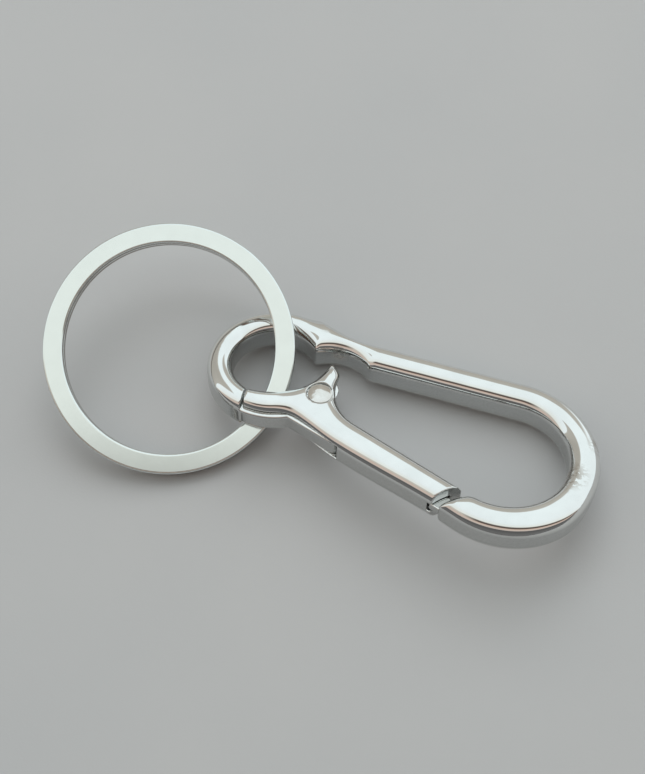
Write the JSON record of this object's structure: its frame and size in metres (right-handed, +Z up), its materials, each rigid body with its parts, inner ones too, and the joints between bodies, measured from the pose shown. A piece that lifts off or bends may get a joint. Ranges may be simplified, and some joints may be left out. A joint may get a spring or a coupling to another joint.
{
  "type": "carabiner keyring",
  "caption": "Small cast carabiner with a sprung gate lever on a rivet, a narrow eye at its back end, and a flat split ring through the eye.",
  "frame": {"origin": "centre of the bounding box's footprint, on the table the keyring lies on", "axes": "+X from the split ring towards the hook's big end, +Y from the gate's side towards the spine's side, +Z up from the table"},
  "size_m": [0.0778, 0.0342, 0.0135],
  "materials": {
    "hook_plate": "mirror-bright nickel plate over a casting",
    "gate_plate": "mirror-bright nickel plate over a casting",
    "rivet_steel": "plated, slightly uneven from riveting",
    "spring_steel": "drawn spring wire",
    "ring_plate": "nickel-plated flat spring steel, satin faces"
  },
  "bodies": {
    "hook": {"hook_body": "hook_plate", "torsion_spring": "spring_steel"},
    "gate": {"gate_lever": "gate_plate", "pivot_rivet": "rivet_steel"},
    "ring": {"split_ring": "ring_plate"}
  },
  "joints": [
    {"name": "gate_hinge", "type": "hinge", "parent": "hook", "child": "gate", "pos_m": [0.00096, 0.00166, 0.00583], "axis": [-0.0315, 0.2917, 0.956], "range_deg": [0, 36], "stiffness_Nm_per_rad": 0.02, "springref_deg": -22.92, "deforming": ["torsion_spring"]},
    {"name": "ring_flip", "type": "hinge", "parent": "hook", "child": "ring", "pos_m": [-0.0064, 0.00468, 0.00451], "axis": [0.9466, 0.2907, -0.1395], "range_deg": [0, 110]}
  ]
}
